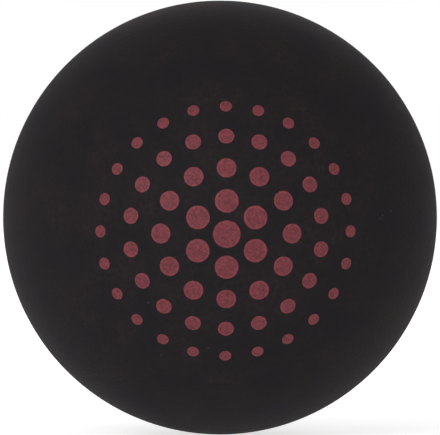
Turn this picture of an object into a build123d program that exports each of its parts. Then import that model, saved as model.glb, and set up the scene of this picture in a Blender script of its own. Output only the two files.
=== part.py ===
from build123d import *
import os
from math import asin, degrees, sqrt

# A squash ball: two moulded rubber half shells, cemented rim to rim.
# The ball's centre is the origin, Z is up and the two halves meet in the XZ plane.

# Driving dimensions, in millimetres
ball_diameter = 42.4
wall_thickness = 4.4
cement_film = 0.12  # cured cement between the two ground rims
outer_bevel = 0.1  # edge break round the outside of each rim
inner_bevel = 0.6  # edge break round the inside of each rim
bead_rise = 0.4  # how far the squeezed-out cement stands into the hollow

# Worked-out sizes
outer_radius = ball_diameter / 2
inner_radius = outer_radius - wall_thickness
rim_height = cement_film / 2  # from the joint plane to a ground rim
outer_edge_height = rim_height + outer_bevel
inner_edge_height = rim_height + inner_bevel
outer_edge_radius = sqrt(outer_radius**2 - outer_edge_height**2)
inner_edge_radius = sqrt(inner_radius**2 - inner_edge_height**2)
outer_edge_angle = degrees(asin(outer_edge_height / outer_radius))
inner_edge_angle = degrees(asin(inner_edge_height / inner_radius))

# The ground rim in section, from the outside of the ball to the hollow:
# a bevel, the flat that the cement holds, and the inner bevel.
# Both half shells and the cement take this same line.
rim_section = [
    (outer_edge_radius, outer_edge_height),
    (outer_radius - outer_bevel, rim_height),
    (inner_radius + inner_bevel, rim_height),
    (inner_edge_radius, inner_edge_height),
]

# Rear half shell: its section is turned about the axis through both poles
with BuildPart() as rear_half_shell:
    with BuildSketch(Plane.XY):
        with BuildLine():
            CenterArc((0, 0), outer_radius, outer_edge_angle, 90 - outer_edge_angle)
            Polyline(*rim_section)
            CenterArc((0, 0), inner_radius, inner_edge_angle, 90 - inner_edge_angle)
            Line((0, inner_radius), (0, outer_radius))
        make_face()
    revolve(axis=Axis.Y)

# Front half shell: the same moulding, facing the other way
with BuildPart() as front_half_shell:
    mirror(rear_half_shell.part, about=Plane.XZ)

# Cement: the film between the rims, buffed flush with the ball outside,
# and the rounded bead that squeezed out over the inner bevels
with BuildPart() as seam_adhesive:
    with BuildSketch(Plane.XY):
        with BuildLine():
            Polyline(*rim_section)
            mirror(about=Plane.XZ)
            CenterArc((0, 0), outer_radius, -outer_edge_angle, 2 * outer_edge_angle)
            ThreePointArc(
                (inner_edge_radius, inner_edge_height),
                (inner_edge_radius - bead_rise, 0),
                (inner_edge_radius, -inner_edge_height),
            )
        make_face()
    revolve(axis=Axis.Y)

front_half_shell.part.label = "front_half_shell"
rear_half_shell.part.label = "rear_half_shell"
seam_adhesive.part.label = "seam_adhesive"

os.makedirs("parts", exist_ok=True)
export_step(front_half_shell.part, "parts/front_half_shell.step")
export_step(rear_half_shell.part, "parts/rear_half_shell.step")
export_step(seam_adhesive.part, "parts/seam_adhesive.step")
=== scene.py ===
import math

import bmesh
import bpy
from mathutils import Matrix, Vector, noise


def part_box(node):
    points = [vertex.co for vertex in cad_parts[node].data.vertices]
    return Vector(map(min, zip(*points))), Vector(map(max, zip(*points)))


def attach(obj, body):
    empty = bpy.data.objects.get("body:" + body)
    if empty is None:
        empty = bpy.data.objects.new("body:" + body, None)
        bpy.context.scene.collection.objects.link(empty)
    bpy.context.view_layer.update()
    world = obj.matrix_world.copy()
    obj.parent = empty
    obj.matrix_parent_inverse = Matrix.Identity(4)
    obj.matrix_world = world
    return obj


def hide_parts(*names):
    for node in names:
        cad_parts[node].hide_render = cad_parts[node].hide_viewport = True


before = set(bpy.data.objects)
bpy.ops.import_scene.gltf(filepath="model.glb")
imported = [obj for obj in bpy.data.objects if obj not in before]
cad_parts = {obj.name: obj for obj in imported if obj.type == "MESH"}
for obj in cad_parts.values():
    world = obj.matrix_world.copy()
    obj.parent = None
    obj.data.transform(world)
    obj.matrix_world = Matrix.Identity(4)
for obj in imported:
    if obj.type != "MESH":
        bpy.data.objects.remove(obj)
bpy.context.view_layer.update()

# A squash ball: two rubber half shells, cemented rim to rim, with a print in dark red ink.
# The ball's middle is the origin. The halves meet in the plane y = 0, and the print faces -Y.
# Lengths are in metres, angles in degrees and colours in linear light.

# Sizes read from the solids
SAME = 1e-6  # how close two measures are to count as the same
front_points = [vertex.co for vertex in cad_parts["front_half_shell"].data.vertices]
cement_points = [vertex.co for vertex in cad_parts["seam_adhesive"].data.vertices]
ball_radius = -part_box("front_half_shell")[0].y
hollow_radius = min(point.length for point in front_points)
rim_height = -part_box("front_half_shell")[1].y  # from the middle of the joint to a ground rim
rim_flat = [math.hypot(point.x, point.z) for point in front_points if abs(point.y + rim_height) < SAME]
rim_flat_outer = max(rim_flat)
rim_flat_inner = min(rim_flat)
outer_edge_height = rim_height + ball_radius - rim_flat_outer  # where the outer bevel meets the ball
inner_edge_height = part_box("seam_adhesive")[1].y  # where the inner bevel meets the hollow
inner_edge_radius = math.sqrt(hollow_radius**2 - inner_edge_height**2)
bead_radius = min(math.hypot(point.x, point.z) for point in cement_points)  # to the crest of the bead

# The photograph's frame, and where the ball stands in it
PHOTO_WIDTH = 440  # pixels
BALL_RADIUS_PIXELS = 217.0
CAMERA_DISTANCE = 0.4
SENSOR_WIDTH = 36.0  # millimetres

# The shells
FRONT = -1  # the sign of y on each side of the joint
REAR = 1
SHELL_GRID = 96  # cells along each side of the square grid that is wrapped over a half ball
MAP_NAME = "OFBake"  # the name of the texture map
OUTER_MAP_SHARE = 0.9  # of each side of the texture map that the outside takes
MAP_MARGIN = 0.004  # bare space beside each patch of the map
RELIEF = ((0.0045, 0.000008), (0.002, 0.000005))  # length and height of the unevenness

# The cement
SEAM_STEPS = 720  # sections round the ball
GROOVE_DEPTH = 0.00004  # how far the cement was buffed below the ball, on average
GROOVE_WANDER = ((0.0045, 0.7), (0.0009, 0.5))  # length along the seam and share of the depth
GROOVE_LEAST = 0.25  # share of the depth that is always there
GROOVE_DIP = 1.2  # depth in the middle of the groove, times the depth at its edges
SHOULDER_REACH = 0.75  # share of the way from the hollow's edge to the bead's crest
SHOULDER_HEIGHT = 0.55  # share of the height of the hollow's edge

# The print, and where its middle lies on the ball
PRINT_AZIMUTH = 1.7
PRINT_ELEVATION = -4.2
DOT_RINGS = 4
DOTS_PER_RING = 6  # times the number of the ring
DOT_RING_STEP = 0.0031
DOT_STAGGER = 0.5  # share of the step between dots by which every second ring is turned
DOT_RADIUS_MIDDLE = 0.00129
DOT_RADIUS_EDGE = 0.00057
DOT_STEP_LENGTH = 0.0001  # along a dot's edge
INK_FILM = 0.00002  # how far the film stands above the rubber
INK_SINK = 0.00003  # how far the film's underside lies in the rubber
INK_RAGGED = 0.000022  # how far a dot's edge can stray
INK_RAGGED_LENGTH = 0.0004  # from one such stray to the next
INK_RIM = 1.15  # height of the film near its edge, where the stamp squeezed the ink out
INK_PROFILE = ((0.45, 1.0), (0.8, 1.0), (0.93, INK_RIM), (0.985, 0.75), (1.0, 0.0))  # reach and height
INK_UNDER = -1.0  # marks the film's underside where a height is asked for
INK_LAYER = "ink_film"  # keeps each corner's height for the material

# Looks. A pattern has the length of its main features, a count of finer ones and their strength.
# A change of colour runs from none to full between two values of its pattern.
PATTERN_MIDDLE = (0.3, 0.7)  # where most values of a pattern lie; a finish's roughness runs over them

# Looks of the rubber
RUBBER_WARM = (0.0216, 0.0171, 0.0174, 1)
RUBBER_COOL = (0.0146, 0.0134, 0.0157, 1)
RUBBER_DARK = (0.0136, 0.0114, 0.0124, 1)
DUST = (0.055, 0.056, 0.064, 1)
BLOTCH = {"length": 0.004, "detail": 3.0, "roughness": 0.6}
BLOTCH_CHANGE = (0.36, 0.64)
GRAIN = {"length": 0.0004, "detail": 5.0, "roughness": 0.68}
GRAIN_CHANGE = (0.6, 0.36)
DUST_CELL = 0.0032  # each cell of this size has one speck
DUST_CHANGE = (0.034, 0.02)  # from the middle of a speck, as shares of a cell
RUBBER_FINISH = {"roughness": (0.7, 0.8), "gloss": 0.038, "bump": 0.7, "bump_depth": 0.00012}

# Looks of the cement
CEMENT_DARK = (0.0075, 0.007, 0.007, 1)
CEMENT_PALE = (0.0125, 0.0115, 0.0115, 1)
FLOW = {"length": 0.0008, "detail": 3.0, "roughness": 0.55}
FLOW_CHANGE = (0.35, 0.65)
CEMENT_FINISH = {"roughness": (0.6, 0.75), "gloss": 0.06, "bump": 0.4, "bump_depth": 0.00002}

# Looks of the ink
INK_DENSE = (0.214, 0.0395, 0.051, 1)
INK_THIN = (0.06, 0.0125, 0.0175, 1)
COVER = {"length": 0.00028, "detail": 4.0, "roughness": 0.65}
COVER_CHANGE = (0.26, 0.78)
PINHOLE = {"length": 0.00016, "detail": 2.0, "roughness": 0.5}
PINHOLE_CHANGE = (0.3, 0.22)
RIM_COVER = 0.35  # cover that the ink gains along its rim
INK_FINISH = {"roughness": (0.66, 0.5), "gloss": 0.22, "bump": 0.5, "bump_depth": 0.00004}

# Stage and light. A brightness of 1 is that of a white card in full light.
WHITE = (1, 1, 1, 1)
FLOOR_WHITE = (0.8, 0.8, 0.8, 1)
FLOOR_SIZE = 12.0
FLOOR_GLOW = 0.7  # how bright the floor looks under the ball before the lamps add to it
FLOOR_FADE = (0.02, 0.2)  # distances from the ball's foot over which that rises to full white
FLOOR_FILL = 0.5  # how bright the floor is as a light of its own
ROOM_FILL = 0.25  # how bright the room is as a light of its own
LAMP_DISTANCE = 0.5
LAMP_SIZE = 0.3
LAMPS = {  # azimuth, elevation and how bright the lamp makes a white card that faces it
    "key_light": (-30, 24, 0.52),
    "right_light": (40, 24, 0.17),
    "rear_light": (180, 20, 0.14),
}

# Socket numbers of a Mix node that blends colours
MIX_SHARE = 0
MIX_FIRST = 6
MIX_SECOND = 7
MIX_RESULT = 2


# Helpers for objects and meshes

def direction(azimuth, elevation):
    """A unit vector from the ball's middle; azimuth 0 faces the camera, and 90 the picture's right."""
    turn = math.radians(azimuth)
    rise = math.radians(elevation)
    level = math.cos(rise)
    return Vector((math.sin(turn) * level, -math.cos(turn) * level, math.sin(rise)))


def add_object(name, data):
    """Puts a mesh, a lamp or a camera in the scene."""
    made = bpy.data.objects.new(name, data)
    bpy.context.scene.collection.objects.link(made)
    return made


def finished_mesh(name, mesh, material):
    """Turns an edit mesh into one that an object can hold, with a material."""
    data = bpy.data.meshes.new(name)
    mesh.to_mesh(data)
    mesh.free()
    data.materials.append(material)
    return data


def make_piece(name, mesh, material):
    """Turns a closed mesh into a piece that rides on the ball."""
    bmesh.ops.recalc_face_normals(mesh, faces=mesh.faces)
    piece = add_object(name, finished_mesh(name, mesh, material))
    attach(piece, "root")
    return piece


def add_face(mesh, corners, uv, map_places):
    """A smooth face with its place in the texture map."""
    face = mesh.faces.new(corners)
    face.smooth = True
    for loop, place in zip(face.loops, map_places):
        loop[uv].uv = place


def add_band_faces(mesh, rings, uv, map_corner, map_size):
    """Joins closed rings of corners by bands of faces and lays them out in a strip of the texture map."""
    left, bottom = map_corner
    width, height = map_size
    count = len(rings[0])
    bands = len(rings) - 1
    for band in range(bands):
        for i in range(count):
            steps = ((band, i), (band, i + 1), (band + 1, i + 1), (band + 1, i))
            corners = [rings[ring][step % count] for ring, step in steps]
            across = [left + width * step / count for ring, step in steps]
            along = [bottom + height * ring / bands for ring, step in steps]
            add_face(mesh, corners, uv, zip(across, along))


def sharpen(mesh, ring):
    """Keeps the edge along a ring of corners crisp."""
    for i, corner in enumerate(ring):
        mesh.edges.get((corner, ring[i - 1])).smooth = False


# Half shells

def place_on_grid(row, column, steepest):
    """A grid corner as angles from the pole and round it, in radians; all cells have the same area."""
    across = 2 * column / SHELL_GRID - 1
    along = 2 * row / SHELL_GRID - 1
    if across == 0 and along == 0:
        return 0.0, 0.0
    if abs(across) > abs(along):
        reach = across
        turn = math.pi / 4 * along / across
    else:
        reach = along
        turn = math.pi / 2 - math.pi / 4 * across / along
    if reach < 0:
        reach = -reach
        turn += math.pi
    return 2 * math.asin(reach * math.sin(steepest / 2)), turn


def relief_at(point):
    """How far the buffed surface stands above the true ball."""
    return sum(height * noise.noise(point / length) for length, height in RELIEF)


def add_cap(mesh, radius, edge_height, side, relief):
    """A cap of a sphere on one side of the joint, as rows of grid corners."""
    steepest = math.acos(edge_height / radius)
    rows = []
    for row in range(SHELL_GRID + 1):
        rows.append([])
        for column in range(SHELL_GRID + 1):
            lean, turn = place_on_grid(row, column, steepest)
            across = math.sin(lean)
            point = Vector((across * math.cos(turn), side * math.cos(lean), across * math.sin(turn)))
            point *= radius
            # Corners at the edge stay on the true ball, where the rim starts
            if relief and 0 < row < SHELL_GRID and 0 < column < SHELL_GRID:
                point *= 1 + relief_at(point) / radius
            rows[-1].append(mesh.verts.new(point))
    return rows


def add_rim_ring(mesh, outer_ring, radius, side):
    """A ring of corners on the ground rim, in line with the corners round the outside."""
    ring = []
    for corner in outer_ring:
        turn = math.atan2(corner.co.z, corner.co.x)
        point = (radius * math.cos(turn), side * rim_height, radius * math.sin(turn))
        ring.append(mesh.verts.new(point))
    return ring


def border(rows):
    """The corners round the outside of a grid, in order."""
    last = SHELL_GRID
    bottom = [rows[0][i] for i in range(last)]
    right = [rows[i][last] for i in range(last)]
    top = [rows[last][last - i] for i in range(last)]
    left = [rows[last - i][0] for i in range(last)]
    return bottom + right + top + left


def add_grid_faces(mesh, rows, uv, map_corner, width):
    """Fills a grid with triangles, cut along lines to its middle, and lays it out in the texture map."""
    left, bottom = map_corner
    half = SHELL_GRID // 2
    for row in range(SHELL_GRID):
        for column in range(SHELL_GRID):
            cell = [(row, column), (row, column + 1), (row + 1, column + 1), (row + 1, column)]
            if (row < half) != (column < half):
                cell.append(cell.pop(0))
            for triangle in (cell[:3], cell[2:] + cell[:1]):
                corners = [rows[r][c] for r, c in triangle]
                across = [left + width * c / SHELL_GRID for r, c in triangle]
                along = [bottom + width * r / SHELL_GRID for r, c in triangle]
                add_face(mesh, corners, uv, zip(across, along))


def build_half_shell(name, node, side, material):
    """One moulded half: the buffed outside, the ground rim and the smooth hollow."""
    mesh = bmesh.new()
    uv = mesh.loops.layers.uv.new(MAP_NAME)
    outside = add_cap(mesh, ball_radius, outer_edge_height, side, relief=True)
    hollow = add_cap(mesh, hollow_radius, inner_edge_height, side, relief=False)
    rings = [border(outside)]
    for radius in (rim_flat_outer, rim_flat_inner):
        rings.append(add_rim_ring(mesh, rings[0], radius, side))
    rings.append(border(hollow))
    spare = 1 - OUTER_MAP_SHARE - 2 * MAP_MARGIN  # what the outside leaves of each side of the map
    add_grid_faces(mesh, outside, uv, (MAP_MARGIN, MAP_MARGIN), OUTER_MAP_SHARE)
    add_grid_faces(mesh, hollow, uv, (1 - spare, 1 - spare), spare - MAP_MARGIN)
    add_band_faces(mesh, rings, uv, (MAP_MARGIN, 1 - spare), (OUTER_MAP_SHARE, spare - MAP_MARGIN))
    for ring in rings:
        sharpen(mesh, ring)
    piece = make_piece(name, mesh, material)
    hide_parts(node)


# Cement

def groove_depth_at(point):
    """How far the cement lies below the ball at a place on the seam."""
    wander = sum(share * noise.noise(point / length) for length, share in GROOVE_WANDER)
    return GROOVE_DEPTH * max(GROOVE_LEAST, 1 + wander)


def cement_section(depth):
    """The cement in section, as radii and heights from the joint's middle, for a depth of the groove."""
    shoulder_radius = inner_edge_radius + SHOULDER_REACH * (bead_radius - inner_edge_radius)
    half = [
        (ball_radius - depth, outer_edge_height - depth),  # down the outer bevel, at about 45 degrees
        (rim_flat_outer, rim_height),
        (rim_flat_inner, rim_height),
        (inner_edge_radius, inner_edge_height),
        (shoulder_radius, SHOULDER_HEIGHT * inner_edge_height),
    ]
    other_half = [(radius, -height) for radius, height in reversed(half)]
    return half + [(bead_radius, 0)] + other_half + [(ball_radius - GROOVE_DIP * depth, 0)]


def build_seam(material):
    """The cured cement: a film between the rims, a shallow groove outside and a bead in the hollow."""
    mesh = bmesh.new()
    uv = mesh.loops.layers.uv.new(MAP_NAME)
    sections = []
    for i in range(SEAM_STEPS):
        turn = 2 * math.pi * i / SEAM_STEPS
        spot = Vector((math.cos(turn), 0, math.sin(turn)))
        section = cement_section(groove_depth_at(spot * ball_radius))
        points = [(radius * spot.x, height, radius * spot.z) for radius, height in section]
        sections.append([mesh.verts.new(point) for point in points])
    rings = [list(ring) for ring in zip(*sections)]
    # The first ring comes again at the end and closes the section
    add_band_faces(mesh, rings + rings[:1], uv, (0, 0), (1, 1))
    for ring in rings:
        sharpen(mesh, ring)
    piece = make_piece("seam_cement", mesh, material)
    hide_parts("seam_adhesive")


# Print

def add_ink_corner(mesh, towards, height):
    """A corner of the film, in a direction from the ball's middle and at a share of the film's height."""
    rise = -INK_SINK if height == INK_UNDER else INK_FILM * height
    corner = mesh.verts.new(towards * (ball_radius + rise))
    corner[mesh.verts.layers.float[INK_LAYER]] = height
    return corner


def dot_edge(outward, right, top, radius):
    """Headings from a dot's middle, and how far its ragged edge lies along each."""
    edge = []
    steps = round(2 * math.pi * radius / DOT_STEP_LENGTH)
    for i in range(steps):
        turn = 2 * math.pi * i / steps
        heading = right * math.cos(turn) + top * math.sin(turn)
        spot = outward * ball_radius + heading * radius
        edge.append((heading, radius + INK_RAGGED * noise.noise(spot / INK_RAGGED_LENGTH)))
    return edge


def add_ink_ring(mesh, outward, edge, share, height):
    """A ring of the film's corners, at a share of the way from a dot's middle to its edge."""
    ring = []
    for heading, reach in edge:
        lean = reach * share / ball_radius
        towards = outward * math.cos(lean) + heading * math.sin(lean)
        ring.append(add_ink_corner(mesh, towards, height))
    return ring


def add_dot(mesh, outward, right, top, radius):
    """A round dot of ink: a closed film, thickest near its edge, which is slightly ragged."""
    edge = dot_edge(outward, right, top, radius)
    middle = add_ink_corner(mesh, outward, 1.0)
    under = add_ink_corner(mesh, outward, INK_UNDER)
    rings = [add_ink_ring(mesh, outward, edge, share, height) for share, height in INK_PROFILE]
    rings.append(add_ink_ring(mesh, outward, edge, 1.0, INK_UNDER))
    for i in range(len(edge)):
        j = (i + 1) % len(edge)
        faces = [mesh.faces.new((middle, rings[0][i], rings[0][j]))]
        faces.append(mesh.faces.new((under, rings[-1][j], rings[-1][i])))
        for inner, outer in zip(rings, rings[1:]):
            faces.append(mesh.faces.new((inner[i], outer[i], outer[j], inner[j])))
        for face in faces:
            face.smooth = True


def build_print(material):
    """Rings of dots that grow smaller away from the middle, printed near the front pole."""
    mesh = bmesh.new()
    mesh.verts.layers.float.new(INK_LAYER)
    outward = direction(PRINT_AZIMUTH, PRINT_ELEVATION)
    right = Vector((0, 0, 1)).cross(outward).normalized()
    top = outward.cross(right)
    for ring in range(DOT_RINGS + 1):
        lean = ring * DOT_RING_STEP / ball_radius
        radius = DOT_RADIUS_MIDDLE + (DOT_RADIUS_EDGE - DOT_RADIUS_MIDDLE) * ring / DOT_RINGS
        count = max(1, DOTS_PER_RING * ring)
        for i in range(count):
            turn = 2 * math.pi * (i + DOT_STAGGER * (ring % 2)) / count
            heading = right * math.cos(turn) + top * math.sin(turn)
            tilt = Matrix.Rotation(lean, 3, outward.cross(heading))
            add_dot(mesh, tilt @ outward, tilt @ right, tilt @ top, radius)
    make_piece("front_print", mesh, material)


# Materials

def add_node(tree, kind, inputs=None, **settings):
    """Adds a node; inputs holds numbers, colours or the sockets that feed it."""
    made = tree.nodes.new(kind)
    for name, value in settings.items():
        setattr(made, name, value)
    for name, value in (inputs or {}).items():
        if isinstance(value, bpy.types.NodeSocket):
            tree.links.new(value, made.inputs[name])
        else:
            made.inputs[name].default_value = value
    return made


def mix_colours(tree, share, first, second):
    """Blends two colours, or sockets, by a share."""
    inputs = {MIX_SHARE: share, MIX_FIRST: first, MIX_SECOND: second}
    return add_node(tree, "ShaderNodeMix", inputs, data_type="RGBA").outputs[MIX_RESULT]


def join_values(tree, operation, first, second):
    """One value from two, such as their sum or the larger of them."""
    return add_node(tree, "ShaderNodeMath", {0: first, 1: second}, operation=operation).outputs["Value"]


def spread_value(tree, value, low, high, to_low=0.0, to_high=1.0):
    """Stretches a range of values over another range."""
    inputs = {"Value": value, "From Min": low, "From Max": high, "To Min": to_low, "To Max": to_high}
    return add_node(tree, "ShaderNodeMapRange", inputs).outputs["Result"]


def noise_value(tree, place, length, detail, roughness):
    """A noise pattern whose main features have the given length."""
    inputs = {"Vector": place, "Scale": 1 / length, "Detail": detail, "Roughness": roughness}
    return add_node(tree, "ShaderNodeTexNoise", inputs).outputs["Fac"]


def new_material(name):
    """A material with its shader, its output and the piece's own coordinates."""
    material = bpy.data.materials.new(name)
    material.use_nodes = True
    tree = material.node_tree
    tree.nodes.clear()
    shader = add_node(tree, "ShaderNodeBsdfPrincipled")
    add_node(tree, "ShaderNodeOutputMaterial", {"Surface": shader.outputs["BSDF"]})
    place = add_node(tree, "ShaderNodeTexCoord").outputs["Object"]
    return material, tree, shader, place


def finish_surface(tree, shader, colour, pattern, roughness, gloss, bump, bump_depth):
    """Gives a shader its colour, and a roughness and a relief that follow a pattern."""
    dull = spread_value(tree, pattern, *PATTERN_MIDDLE, *roughness)
    relief_inputs = {"Height": pattern, "Strength": bump, "Distance": bump_depth}
    relief = add_node(tree, "ShaderNodeBump", relief_inputs).outputs["Normal"]
    tree.links.new(colour, shader.inputs["Base Color"])
    tree.links.new(dull, shader.inputs["Roughness"])
    tree.links.new(relief, shader.inputs["Normal"])
    shader.inputs["Specular IOR Level"].default_value = gloss


def rubber_material():
    """Black rubber, buffed matt: faint blotches, fine grain and a few specks of dust."""
    material, tree, shader, place = new_material("black_rubber")
    blotch = spread_value(tree, noise_value(tree, place, **BLOTCH), *BLOTCH_CHANGE)
    grain = noise_value(tree, place, **GRAIN)
    mottle = spread_value(tree, grain, *GRAIN_CHANGE)
    specks = add_node(tree, "ShaderNodeTexVoronoi", {"Vector": place, "Scale": 1 / DUST_CELL})
    dust = spread_value(tree, specks.outputs["Distance"], *DUST_CHANGE)
    colour = mix_colours(tree, blotch, RUBBER_WARM, RUBBER_COOL)
    colour = mix_colours(tree, mottle, colour, RUBBER_DARK)
    colour = mix_colours(tree, dust, colour, DUST)
    finish_surface(tree, shader, colour, grain, **RUBBER_FINISH)
    return material


def cement_material():
    """Cured rubber cement: darker and smoother than the buffed rubber beside it."""
    material, tree, shader, place = new_material("rubber_cement")
    flow = noise_value(tree, place, **FLOW)
    colour = mix_colours(tree, spread_value(tree, flow, *FLOW_CHANGE), CEMENT_DARK, CEMENT_PALE)
    finish_surface(tree, shader, colour, flow, **CEMENT_FINISH)
    return material


def ink_material():
    """Dark red ink, stamped on a rough surface: uneven cover, a denser rim and pinholes to the rubber."""
    material, tree, shader, place = new_material("print_ink")
    cover = noise_value(tree, place, **COVER)
    pinhole = noise_value(tree, place, **PINHOLE)
    film = add_node(tree, "ShaderNodeAttribute", attribute_name=INK_LAYER).outputs["Fac"]
    rim = spread_value(tree, film, 1.0, INK_RIM, 0.0, RIM_COVER)
    share = join_values(tree, "ADD", spread_value(tree, cover, *COVER_CHANGE), rim)
    colour = mix_colours(tree, share, INK_THIN, INK_DENSE)
    colour = mix_colours(tree, spread_value(tree, pinhole, *PINHOLE_CHANGE), colour, RUBBER_DARK)
    finish_surface(tree, shader, colour, cover, **INK_FINISH)
    return material


# Stage, light and camera

def pick_value(tree, test, value_at_0, value_at_1):
    """One value where a test gives 0, and another where it gives 1."""
    return spread_value(tree, test, 0.0, 1.0, value_at_0, value_at_1)


def ray_tests(tree):
    """Two tests of a ray: does it come straight from the camera, and did gloss or glass send it."""
    path = add_node(tree, "ShaderNodeLightPath").outputs
    mirrored = join_values(tree, "MAXIMUM", path["Is Glossy Ray"], path["Is Transmission Ray"])
    return path["Is Camera Ray"], mirrored


def floor_material():
    """White paint with a glow: it keeps the ball's shadow and fades to full white away from the ball."""
    material = bpy.data.materials.new("floor_white")
    material.use_nodes = True
    tree = material.node_tree
    tree.nodes.clear()
    place = add_node(tree, "ShaderNodeTexCoord").outputs["Object"]
    away = add_node(tree, "ShaderNodeVectorMath", {0: place}, operation="LENGTH").outputs["Value"]
    seen, mirrored = ray_tests(tree)
    look = spread_value(tree, away, *FLOOR_FADE, FLOOR_GLOW, 1.0)
    light = pick_value(tree, mirrored, FLOOR_FILL, 1.0)
    strength = pick_value(tree, seen, light, look)
    paint = add_node(tree, "ShaderNodeBsdfDiffuse", {"Color": FLOOR_WHITE}).outputs["BSDF"]
    glow = add_node(tree, "ShaderNodeEmission", {"Color": WHITE, "Strength": strength}).outputs["Emission"]
    both = add_node(tree, "ShaderNodeAddShader", {0: paint, 1: glow}).outputs["Shader"]
    add_node(tree, "ShaderNodeOutputMaterial", {"Surface": both})
    return material


def build_floor():
    """A plain white floor under the ball."""
    mesh = bmesh.new()
    bmesh.ops.create_grid(mesh, x_segments=1, y_segments=1, size=FLOOR_SIZE / 2)
    floor = add_object("floor", finished_mesh("floor", mesh, floor_material()))
    floor.location.z = -ball_radius


def build_world():
    """Even white surroundings: a plain fill as a light, full white to the camera and in gloss or glass."""
    world = bpy.data.worlds.new("white_room")
    bpy.context.scene.world = world
    world.use_nodes = True
    tree = world.node_tree
    tree.nodes.clear()
    shown = join_values(tree, "MAXIMUM", *ray_tests(tree))
    strength = pick_value(tree, shown, ROOM_FILL, 1.0)
    room = add_node(tree, "ShaderNodeBackground", {"Color": WHITE, "Strength": strength})
    add_node(tree, "ShaderNodeOutputWorld", {"Surface": room.outputs["Background"]})


def add_soft_light(name, azimuth, elevation, level):
    """A square soft light aimed at the ball; level is how bright it makes a white card that faces it."""
    lamp = bpy.data.lights.new(name, "AREA")
    lamp.size = LAMP_SIZE
    lamp.energy = level * math.pi**2 * LAMP_DISTANCE**2
    away = direction(azimuth, elevation)
    light = add_object(name, lamp)
    light.location = away * LAMP_DISTANCE
    light.rotation_mode = "QUATERNION"
    light.rotation_quaternion = away.to_track_quat("Z", "Y")


def build_camera():
    """A long lens level with the ball's middle, facing the print."""
    # How many times its own radius the ball's outline is away from the camera
    outline_reach = math.sqrt(CAMERA_DISTANCE**2 - ball_radius**2) / ball_radius
    data = bpy.data.cameras.new("camera")
    data.sensor_width = SENSOR_WIDTH
    data.lens = BALL_RADIUS_PIXELS * outline_reach * SENSOR_WIDTH / PHOTO_WIDTH
    camera = add_object("camera", data)
    camera.location = (0, -CAMERA_DISTANCE, 0)
    camera.rotation_euler = (math.pi / 2, 0, 0)
    bpy.context.scene.camera = camera


# The ball and its stage

rubber = rubber_material()
build_half_shell("front_shell", "front_half_shell", FRONT, rubber)
build_half_shell("rear_shell", "rear_half_shell", REAR, rubber)
build_seam(cement_material())
build_print(ink_material())
build_floor()
build_world()
for name, (azimuth, elevation, level) in LAMPS.items():
    add_soft_light(name, azimuth, elevation, level)
build_camera()
bpy.context.scene.view_settings.view_transform = "Standard"
